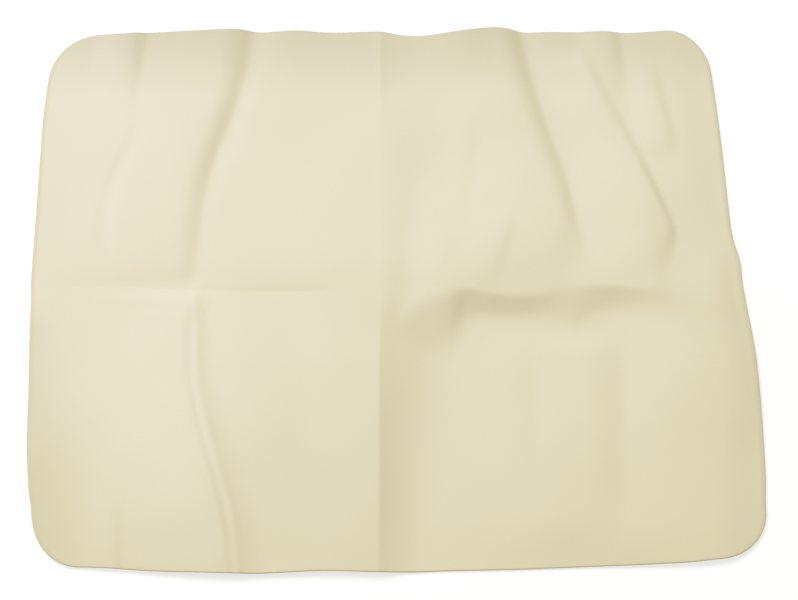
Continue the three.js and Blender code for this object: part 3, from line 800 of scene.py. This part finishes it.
class NodeBoard:
    """Adds nodes to one material or world, its holder, and joins them.

    The colours of a mixing node stand past its plain values and vectors, at the places given.
    """

    FIRST_COLOUR: ClassVar[int] = 6
    SECOND_COLOUR: ClassVar[int] = 7
    MIXED_COLOUR: ClassVar[int] = 2

    def __init__(self, name: str, world: bool = False) -> None:
        """Starts an empty board.

        Args:
            name: the name of the material or world.
            world: whether the board is a world's.
        """
        kinds = bpy.data.worlds if world else bpy.data.materials
        self.holder = kinds.new(name)
        self.holder.use_nodes = True
        self.tree = self.holder.node_tree
        self.tree.nodes.clear()
        self.output = self.add("ShaderNodeOutputWorld" if world else "ShaderNodeOutputMaterial")

    def add(
        self, kind: str, inputs: dict[str | int, Source] | None = None, **settings: Any
    ) -> bpy.types.Node:
        """Adds a node of one kind with its settings and what goes into it.

        Args:
            kind: the kind of node.
            inputs: what goes into its sockets, by their names or places.
            settings: the node's own settings by name.

        Returns:
            The node.
        """
        node = self.tree.nodes.new(kind)
        for setting, value in settings.items():
            setattr(node, setting, value)
        for socket, source in (inputs or {}).items():
            self.join(source, node.inputs[socket])
        return node

    def join(self, source: Source, target: bpy.types.NodeSocket) -> None:
        """Joins a socket to another, or sets it where the source is a plain value.

        Args:
            source: a socket, a colour or a number.
            target: the socket that takes it.
        """
        if isinstance(source, bpy.types.NodeSocket):
            self.tree.links.new(source, target)
        elif isinstance(source, tuple):
            target.default_value = (*source, OPAQUE)
        else:
            target.default_value = source

    def finish(self, shader: bpy.types.NodeSocket) -> None:
        """Joins the finished shader to the output."""
        self.join(shader, self.output.inputs["Surface"])

    def attribute(self, name: str, output: str) -> bpy.types.NodeSocket:
        """One of the mesh's own attributes."""
        return self.add("ShaderNodeAttribute", attribute_name=name).outputs[output]

    def worked_out(self, operation: str, first: Source, second: Source) -> bpy.types.NodeSocket:
        """Works out one value from two.

        Args:
            operation: what is done with them.
            first: a socket or a number.
            second: a socket or a number.

        Returns:
            The value.
        """
        node = self.add("ShaderNodeMath", {0: first, 1: second}, operation=operation)
        return node.outputs[0]

    def sum_of(self, first: Source, second: Source) -> bpy.types.NodeSocket:
        """Two values added."""
        return self.worked_out("ADD", first, second)

    def product(self, first: Source, second: Source) -> bpy.types.NodeSocket:
        """Two values multiplied."""
        return self.worked_out("MULTIPLY", first, second)

    def scaled(self, value: Source, offset: float, factor: float) -> bpy.types.NodeSocket:
        """A value plus an offset, times a factor."""
        return self.product(self.sum_of(value, offset), factor)

    def noise(
        self, place: bpy.types.NodeSocket, length: float, detail: float, distortion: float = 0.0
    ) -> bpy.types.NodeSocket:
        """Soft noise from 0 to 1.

        Args:
            place: where on the piece the noise is read.
            length: the size of its blotches.
            detail: how many finer layers it has.
            distortion: how far it is pulled about.

        Returns:
            The noise.
        """
        node = self.add("ShaderNodeTexNoise", {
            "Vector": place, "Scale": 1 / length, "Detail": detail, "Distortion": distortion,
        })
        return node.outputs["Fac"]

    def cells(self, place: bpy.types.NodeSocket, length: float) -> bpy.types.NodeSocket:
        """Small cells all over the piece.

        Args:
            place: where on the piece the cells are read.
            length: the size of a cell.

        Returns:
            The distance from the middle of each place's cell.
        """
        node = self.add("ShaderNodeTexVoronoi", {"Vector": place, "Scale": 1 / length})
        return node.outputs["Distance"]

    def painted_light_toning(
        self, place: bpy.types.NodeSocket, across: float, up: float, middle: float
    ) -> bpy.types.NodeSocket:
        """The share of the warm shade: the middle's share plus its growth across and up the cloth.
        The growth paints light: paler towards the softbox at the upper left.

        Args:
            place: the flat place on the cloth.
            across: the growth for each metre across.
            up: the growth for each metre up.
            middle: the share where the creases cross.

        Returns:
            The share.
        """
        parts = self.add("ShaderNodeSeparateXYZ", {0: place}).outputs
        way = self.sum_of(self.product(parts["X"], across), self.product(parts["Y"], up))
        return self.sum_of(way, middle)

    def strip(self, place: bpy.types.NodeSocket, start: float, width: float) -> bpy.types.NodeSocket:
        """How far each place lies in a strip along the upper edge: 0 at its start, 1 past its width.

        Args:
            place: the flat place on the cloth.
            start: how far up the strip starts.
            width: the strip's width.

        Returns:
            The share of the strip's width.
        """
        parts = self.add("ShaderNodeSeparateXYZ", {0: place}).outputs
        share = self.worked_out("MAXIMUM", self.scaled(parts["Y"], -start, 1 / width), 0.0)
        return self.worked_out("MINIMUM", share, 1.0)

    def near(
        self, place: bpy.types.NodeSocket, spot: tuple[float, float], reach: float
    ) -> bpy.types.NodeSocket:
        """How near each place lies to a spot: 1 on it, and 0 from its reach on.

        Args:
            place: the flat place on the cloth.
            spot: the spot across and up.
            reach: how far from the spot the nearness ends.

        Returns:
            The nearness.
        """
        node = self.add("ShaderNodeVectorMath", {0: place}, operation="DISTANCE")
        node.inputs[1].default_value = (*spot, 0.0)
        return self.worked_out("MAXIMUM", self.scaled(node.outputs["Value"], -reach, -1 / reach), 0.0)

    def blend(self, share: Source, first: Source, second: Source) -> bpy.types.NodeSocket:
        """One colour giving way to another as the share goes from 0 to 1.

        Args:
            share: how much of the second colour there is.
            first: the colour that gives way.
            second: the colour that comes.

        Returns:
            The mixed colour.
        """
        mixed = {"Factor": share, self.FIRST_COLOUR: first, self.SECOND_COLOUR: second}
        return self.add("ShaderNodeMix", mixed, data_type="RGBA").outputs[self.MIXED_COLOUR]

    def shaded(self, colour: Source, lightness: Source) -> bpy.types.NodeSocket:
        """A colour made lighter or darker by a small share of itself.

        Args:
            colour: the colour.
            lightness: the share, below zero where it darkens.

        Returns:
            The changed colour.
        """
        changed = {"Value": self.sum_of(lightness, 1.0), "Color": colour}
        return self.add("ShaderNodeHueSaturation", changed).outputs["Color"]

    def seen(self) -> bpy.types.NodeSocket:
        """Tells what is seen from what only lights.

        Returns:
            One for what the camera, a reflection or clear matter sees, and else nothing.
        """
        path = self.add("ShaderNodeLightPath").outputs
        mirrored = self.worked_out("MAXIMUM", path["Is Glossy Ray"], path["Is Transmission Ray"])
        return self.worked_out("MAXIMUM", path["Is Camera Ray"], mirrored)


def placed(name: str, data: bpy.types.ID) -> bpy.types.Object:
    """Makes an object and puts it into the scene.

    Args:
        name: the object's name.
        data: its mesh, light or camera.

    Returns:
        The object.
    """
    thing = bpy.data.objects.new(name, data)
    bpy.context.scene.collection.objects.link(thing)
    return thing


@dataclass
class SheetPoints:
    """Every point of the sheet: the upper face's row by row, then the underside's, then the rim's.

    With its place each point has its flat place and its share of the rim's shade. The points of a
    row and the rows are counted too.
    """

    places: Field
    flats: Field
    shades: Field
    across: int
    rows: int


@dataclass
class ChamoisSheet:
    """The one soft sheet: its upper face, its underside and the rounded rim of the cut."""

    crossing: tuple[float, float]
    cut: FlatCut = field(default_factory=FlatCut)
    outline: LaidOutline = field(default_factory=LaidOutline)
    relief: Relief = field(default_factory=Relief)
    finish: NapFinish = field(default_factory=NapFinish)
    columns: int = 232
    straight_rows: int = 152
    corner_rows: int = 16
    rim_rings: int = 5
    rim_squareness: float = 0.6
    rim_shade_width: float = 0.0004
    crowding: float = 1.4
    crowd_width: float = 0.06
    crowded_columns: tuple[float, ...] = (-0.5, -0.4, 0.0, 0.16, 0.44, 0.54, 0.78)
    crowded_rows: tuple[float, ...] = (-0.1, 0.0)
    steps_between_lines: int = 40
    # The way away from the softbox, and the steepest fall that the painted shade takes.
    away_from_softbox: tuple[float, float] = (0.656, -0.755)
    painted_shade_limit: float = 0.3
    least_patch: float = 1e-9

    NAME: ClassVar[str] = "chamois_sheet"
    FLAT_PLACE: ClassVar[str] = "flat_place"
    RIM: ClassVar[str] = "rim"
    # The fall away from the softbox, which the material paints as shade.
    SHADED_FALL: ClassVar[str] = "fall"

    def shares(self, count: int, crowded: Sequence[float], low: float, high: float) -> Field:
        """Spaces lines so that they crowd where the relief is steep, with one line on each crease.

        The space between lines goes as one over 1 plus the crowding times a bell about each
        crowded place.

        Args:
            count: the number of spaces.
            crowded: where the lines crowd.
            low: the first line.
            high: the last line.

        Returns:
            The lines, with the one nearest to a crease moved onto it.
        """
        fine = np.linspace(low, high, self.steps_between_lines * count)
        bells = sum(np.exp(-(((fine - place) / self.crowd_width) ** 2)) for place in crowded)
        passed = np.cumsum(1 + self.crowding * bells)
        lines = np.interp(np.linspace(passed[0], passed[-1], count + 1), passed, fine)
        lines[np.argmin(np.abs(lines))] = 0.0
        return lines

    def row_places(self) -> Field:
        """Places the rows: straight ones between the corners, and even angles round each corner.

        Returns:
            The rows' distances from the crease along the width, from the lowest up.
        """
        inset, half_depth = self.cut.thickness / 2, self.cut.half_depth
        angles = np.linspace(0, math.pi / 2, self.corner_rows + 1)[1:]
        upper = max(self.cut.upper_left, self.cut.upper_right)
        lower = max(self.cut.lower_left, self.cut.lower_right)
        top, bottom = half_depth - upper, half_depth - lower
        straight = self.shares(
            self.straight_rows, self.crowded_rows, -bottom / half_depth, top / half_depth
        )
        below = -(bottom + (lower - inset) * np.sin(angles[::-1]))
        above = top + (upper - inset) * np.sin(angles)
        return np.concatenate([below, straight * half_depth, above])

    def faces(self, across: int, rows: int) -> Field:
        """The corners of every face.

        The upper face comes first, then the underside with its corners turned round, then a band
        of faces between each ring of the rim and the next.

        Args:
            across: the number of points in a row.
            rows: the number of rows.

        Returns:
            Four corners for each face.
        """
        grid = np.arange(across * rows).reshape(rows, across)
        corners = [grid[:-1, :-1], grid[:-1, 1:], grid[1:, 1:], grid[1:, :-1]]
        upper = np.stack(corners, -1).reshape(-1, 4)
        under = upper[:, ::-1] + grid.size
        loop = self.loop(grid)
        start = 2 * grid.size + np.arange(self.rim_rings)[:, None] * len(loop)
        rings = np.concatenate([loop[None], start + np.arange(len(loop)), loop[None] + grid.size])
        turned = np.roll(rings, -1, 1)
        bands = np.stack([rings[:-1], rings[1:], turned[1:], turned[:-1]], -1).reshape(-1, 4)
        return np.concatenate([upper, under, bands])

    @staticmethod
    def loop(grid: Field) -> Field:
        """The outer points of a grid, once round, starting along the lower edge."""
        return np.concatenate([grid[0, :-1], grid[:-1, -1], grid[-1, :0:-1], grid[:0:-1, 0]])

    def rim_places(self, edge: Field) -> tuple[Field, Field]:
        """Works out the rings of the rim.

        Each ring stands off the faces' outer loop, outwards by the cosine and up and down by the
        sine of its angle, both drawn towards a square by a power.

        Args:
            edge: the outer loop of the underside.

        Returns:
            The places on every ring, and the height of each ring over the underside.
        """
        half = self.cut.thickness / 2
        ahead = np.roll(edge, -1, 0) - np.roll(edge, 1, 0)
        outward = np.stack([ahead[:, 1], -ahead[:, 0]], -1)
        outward /= np.linalg.norm(outward, axis=1, keepdims=True)
        angles = np.linspace(math.pi / 2, -math.pi / 2, self.rim_rings + 2)[1:-1, None]
        out = half * np.cos(angles) ** self.rim_squareness
        up = half * (1 + np.sign(np.sin(angles)) * np.abs(np.sin(angles)) ** self.rim_squareness)
        rim = np.broadcast_to(edge, (self.rim_rings, *edge.shape)).copy()
        rim[..., :2] += out[..., None] * outward
        rim[..., 2] += up
        return rim, up

    def points(self) -> SheetPoints:
        """Works out where every point lies.

        The faces' points are the grid of the drawn-in cut, laid out and lifted by the relief. The
        rim's shade fades by a power of e with the distance from the drawn-in outline.

        Returns:
            The points with what each of them carries.
        """
        half = self.cut.thickness / 2
        share = self.shares(self.columns, self.crowded_columns, -1.0, 1.0)
        v = self.row_places()[:, None]
        left, right = self.cut.reach(v, -1, half), self.cut.reach(v, 1, half)
        u = share * np.where(share < 0, left, right)
        v = np.broadcast_to(v, u.shape)
        laid = self.outline.lay(self.cut, u, v)
        z = self.relief.underside(laid)
        under = np.stack([laid.x, laid.y, z - z.min()], -1)
        flat = np.stack([u, v, np.zeros_like(u)], -1)
        edge = np.stack([self.loop(under[..., axis]) for axis in range(3)], -1)
        flat_edge = np.stack([self.loop(flat[..., axis]) for axis in range(3)], -1)
        rim, up = self.rim_places(edge)
        flat_rim = np.broadcast_to(flat_edge, rim.shape).copy()
        flat_rim[..., 2] = up - self.cut.thickness
        upper = under + (0, 0, self.cut.thickness)
        places = np.concatenate([part.reshape(-1, 3) for part in (upper, under, rim)])
        flat_under = flat - (0, 0, self.cut.thickness)
        flats = np.concatenate([part.reshape(-1, 3) for part in (flat, flat_under, flat_rim)])
        beside = np.where(share < 0, left, right) - np.abs(u)
        inside = np.minimum(beside, self.cut.half_depth - half - np.abs(v))
        shade = np.exp(-np.maximum(inside, 0) / self.rim_shade_width).reshape(-1)
        shades = np.concatenate([shade, shade, np.ones(flat_rim[..., 0].size)])
        return SheetPoints(places, flats, shades, across=u.shape[1], rows=u.shape[0])

    def falls(self, points: SheetPoints) -> Field:
        """How steeply the upper face falls away from the softbox, for every point, for painted shade.

        The normal is the cross product of the steps along a row and along a column. Its level
        part over its upright part says how the face falls, and the way away from the softbox
        takes its own share of that. The rim has no fall.

        Args:
            points: the points of the sheet.

        Returns:
            The fall at every point, the underside's the opposite of the upper face's.
        """
        face = points.places[: points.across * points.rows].reshape(points.rows, points.across, 3)
        along_row, along_column = np.gradient(face, axis=1), np.gradient(face, axis=0)
        normal = np.cross(along_row, along_column)
        slopes = normal[..., :2] / np.maximum(normal[..., 2:], self.least_patch)
        fall = np.clip(slopes @ np.array(self.away_from_softbox), -self.painted_shade_limit, self.painted_shade_limit).ravel()
        return np.concatenate([fall, -fall, np.zeros(len(points.places) - 2 * fall.size)])

    @staticmethod
    def keep(mesh: bpy.types.Mesh, name: str, values: Field) -> None:
        """Gives every point of the mesh a number or a vector of its own.

        Args:
            mesh: the mesh.
            name: the attribute's name.
            values: one number or one vector for each point.
        """
        kind, part = ("FLOAT", "value") if values.ndim == 1 else ("FLOAT_VECTOR", "vector")
        attribute = mesh.attributes.new(name, kind, "POINT")
        attribute.data.foreach_set(part, values.astype(np.float32).ravel())

    def build(self) -> bpy.types.Object:
        """Makes the mesh, smooth all over, with its attributes and finish.

        Returns:
            The sheet as an object at the origin.
        """
        points = self.points()
        points.places[:, :2] += self.crossing
        faces = self.faces(points.across, points.rows)
        mesh = bpy.data.meshes.new(self.NAME)
        mesh.from_pydata(points.places.tolist(), [], faces.tolist())
        mesh.polygons.foreach_set("use_smooth", np.ones(len(faces), bool))
        self.keep(mesh, self.FLAT_PLACE, points.flats)
        self.keep(mesh, self.RIM, points.shades)
        # The fall away from the softbox, kept for the painted shade.
        self.keep(mesh, self.SHADED_FALL, self.falls(points))
        mesh.validate()
        mesh.update()
        mesh.materials.append(self.finish.material())
        return placed(self.NAME, mesh)


@dataclass(frozen=True)
class PhotoCamera:
    """The camera where the photograph was taken, aimed at the crossing of the creases."""

    elevation: float = math.radians(69.256)
    distance: float = 1.27933
    focal_pixels: float = 1670.94
    picture_width: float = 798.0
    picture_height: float = 600.0
    crossing_pixel: tuple[float, float] = (380.0, 288.4)
    sensor: float = 36.0

    def place(self, crossing: tuple[float, float]) -> None:
        """Puts the camera over the lower edge, looking down at the crossing.

        The lens is the focal length in pixels over the picture's width, times the sensor. The
        shift moves the crossing from the middle of the picture to its own pixel.

        Args:
            crossing: where the creases cross.
        """
        lens = bpy.data.cameras.new("photo_camera")
        lens.sensor_width = self.sensor
        lens.lens = self.sensor * self.focal_pixels / self.picture_width
        lens.shift_x = (self.picture_width / 2 - self.crossing_pixel[0]) / self.picture_width
        lens.shift_y = (self.crossing_pixel[1] - self.picture_height / 2) / self.picture_width
        camera = placed("photo_camera", lens)
        back, rise = math.cos(self.elevation), math.sin(self.elevation)
        camera.location = (crossing[0], crossing[1] - self.distance * back, self.distance * rise)
        camera.rotation_euler = (math.pi / 2 - self.elevation, 0, 0)
        bpy.context.scene.camera = camera


@dataclass(frozen=True)
class SoftLight:
    """A square softbox aimed at the cloth."""

    name: str
    azimuth: float
    elevation: float
    distance: float
    side: float
    power: float
    colour: Colour

    def place(self) -> None:
        """Hangs the softbox at its azimuth and elevation over the middle of the cloth."""
        lamp = bpy.data.lights.new(self.name, "AREA")
        lamp.shape = "SQUARE"
        lamp.size = self.side
        lamp.energy = self.power
        lamp.color = self.colour
        light = placed(self.name, lamp)
        level = self.distance * math.cos(self.elevation)
        light.location = (
            level * math.cos(self.azimuth),
            level * math.sin(self.azimuth),
            self.distance * math.sin(self.elevation),
        )
        light.rotation_euler = (0, math.pi / 2 - self.elevation, self.azimuth)


@dataclass(frozen=True)
class Studio:
    """The plain pale floor, the even sky light and the softbox over the cloth's upper left."""

    floor_half: float = 3.0
    floor_drop: float = 0.0002
    floor: FloorFinish = field(default_factory=FloorFinish)
    sky_strength: float = 0.40
    sky_colour: Colour = (1.0, 0.98, 0.82)
    key: SoftLight = SoftLight(
        name="key_softbox",
        azimuth=math.radians(131),
        elevation=math.radians(38.5),
        distance=6.0,
        side=2.9,
        power=366.0,
        colour=(0.985, 0.985, 1.0),
    )
    white: Colour = (1.0, 1.0, 1.0)
    white_strength: float = 1.0

    def build(self) -> bpy.types.Object:
        """Lays the floor, lights the cloth and sets the plain view.

        Returns:
            The floor.
        """
        half, low = self.floor_half, -self.floor_drop
        corners = [(-half, -half, low), (half, -half, low), (half, half, low), (-half, half, low)]
        mesh = bpy.data.meshes.new("floor")
        mesh.from_pydata(corners, [], [(0, 1, 2, 3)])
        mesh.materials.append(self.floor.material())
        floor = placed("floor", mesh)
        self.key.place()
        bpy.context.scene.world = self.sky()
        bpy.context.scene.view_settings.view_transform = "Standard"
        return floor

    def sky(self) -> bpy.types.World:
        """Makes the world: an even light on the cloth, and white where it is seen itself.

        Returns:
            The world.
        """
        board = NodeBoard("studio_sky", world=True)
        looks = ((self.sky_colour, self.sky_strength), (self.white, self.white_strength))
        light, white = (
            board.add("ShaderNodeBackground", {"Color": colour, "Strength": strength}).outputs[0]
            for colour, strength in looks
        )
        mix = board.add("ShaderNodeMixShader", {0: board.seen(), 1: light, 2: white})
        board.finish(mix.outputs[0])
        return board.holder


@dataclass(frozen=True)
class FoldCrease:
    """The crease along the depth, where the cloth was folded in half; it gives where the creases
    cross.
    """

    zone: float = 0.016

    @staticmethod
    def crossing(joint: dict[str, Any]) -> tuple[float, float]:
        """Where the creases cross.

        Across it is the fold's own place, and up the depth it is the middle of the slit between
        the upper and lower quarters.

        Args:
            joint: the fold as the record gives it.

        Returns:
            The place on the table.
        """
        upper_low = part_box(Quarter.UPPER_LEFT.value)[0].y
        lower_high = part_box(Quarter.LOWER_LEFT.value)[1].y
        return joint["pos_m"][0], (upper_low + lower_high) / 2

    def bend(self, sheet: bpy.types.Object) -> None:
        """Bakes the sheet's placement into its mesh; the sheet is not bent.

        Args:
            sheet: the finished sheet.
        """
        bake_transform(sheet)


def main() -> None:
    """Builds the studio and the cloth on the frame and reports each piece."""
    logging.basicConfig(level=logging.INFO, format="%(name)s: %(message)s")
    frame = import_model()
    (joint,) = frame["joints"]
    crease = FoldCrease()
    crossing = crease.crossing(joint)
    PhotoCamera().place(crossing)
    floor = Studio().build()
    LOG.info("studio: floor, sky and softbox")
    cloth = ChamoisSheet(crossing)
    sheet = cloth.build()
    crease.bend(sheet)
    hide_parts(*(quarter.value for quarter in Quarter))
    LOG.info("%s: %d faces, finish %s", sheet.name, len(sheet.data.polygons), cloth.finish.name)


if __name__ == "__main__":
    main()
